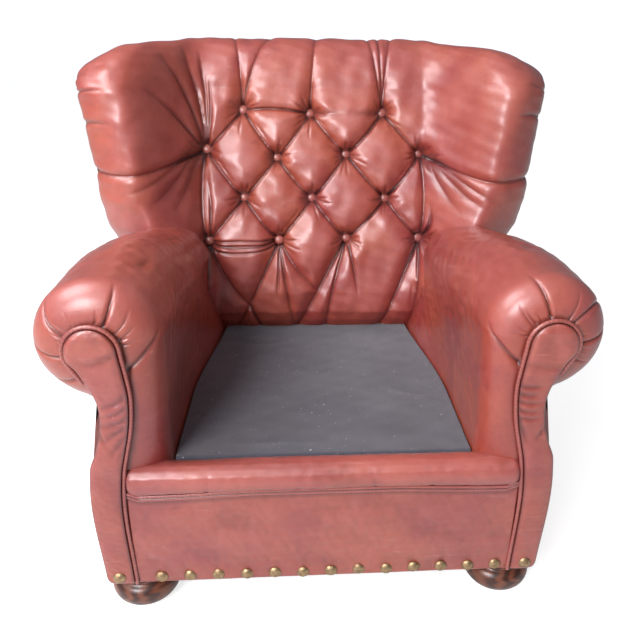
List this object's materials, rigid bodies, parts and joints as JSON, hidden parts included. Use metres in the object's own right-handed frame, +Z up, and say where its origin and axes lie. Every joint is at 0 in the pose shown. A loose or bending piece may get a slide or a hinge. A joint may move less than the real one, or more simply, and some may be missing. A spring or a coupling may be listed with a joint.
{
  "type": "worn club chair",
  "caption": "Worn club chair with a deep-buttoned wing back, scroll arms, nailed front, bare black seat deck and bun feet; its loose seat cushion is missing.",
  "frame": {"origin": "on the floor, under the middle of the chair's overall width and depth", "axes": "+Z up, +X to the sitter's left as seen from the front (picture right), the chair faces -Y"},
  "size_m": [1.0426, 0.915, 0.976],
  "materials": {
    "leather": "worn pull-up leather, mottled, scuffed",
    "button_leather": "worn leather over cover buttons",
    "welt_leather": "worn leather piping",
    "deck_cloth": "black woven cloth with lint",
    "dust_cloth": "black non-woven cloth",
    "felt_pad": "cotton felt",
    "frame_wood": "raw hardwood",
    "foot_wood": "dark satin stain",
    "spring_steel": "plain wire"
  },
  "bodies": {
    "root": {"inside_back": "leather", "back_button_1_1": "button_leather", "back_button_1_2": "button_leather", "back_button_1_3": "button_leather", "back_button_2_1": "button_leather", "back_button_2_2": "button_leather", "back_button_2_3": "button_leather", "back_button_2_4": "button_leather", "back_button_3_1": "button_leather", "back_button_3_2": "button_leather", "back_button_3_3": "button_leather", "back_button_4_1": "button_leather", "back_button_4_2": "button_leather", "back_button_4_3": "button_leather", "back_button_4_4": "button_leather", "outside_back": "leather", "left_arm": "leather", "left_outside_arm": "leather", "left_arm_facing": "leather", "left_arm_welt": "welt_leather", "left_front_post": "frame_wood", "left_side_rail": "frame_wood", "left_arm_rail": "frame_wood", "left_back_post": "frame_wood", "left_wing_board": "frame_wood", "right_arm": "leather", "right_outside_arm": "leather", "right_arm_facing": "leather", "right_arm_welt": "welt_leather", "right_front_post": "frame_wood", "right_side_rail": "frame_wood", "right_arm_rail": "frame_wood", "right_back_post": "frame_wood", "right_wing_board": "frame_wood", "front_rail": "frame_wood", "back_rail": "frame_wood", "lower_back_rail": "frame_wood", "crest_rail": "frame_wood", "front_panel": "leather", "front_double_welt": "welt_leather", "front_border": "leather", "seat_spring_1": "spring_steel", "seat_spring_2": "spring_steel", "seat_spring_3": "spring_steel", "seat_spring_4": "spring_steel", "seat_pad": "felt_pad", "deck_cloth": "deck_cloth", "left_front_corner_block": "frame_wood", "left_front_foot_bolt": "spring_steel", "left_front_foot": "foot_wood", "right_front_corner_block": "frame_wood", "right_front_foot_bolt": "spring_steel", "right_front_foot": "foot_wood", "left_rear_corner_block": "frame_wood", "left_rear_foot_bolt": "spring_steel", "left_rear_foot": "foot_wood", "right_rear_corner_block": "frame_wood", "right_rear_foot_bolt": "spring_steel", "right_rear_foot": "foot_wood", "dust_cover": "dust_cloth"}
  },
  "joints": []
}
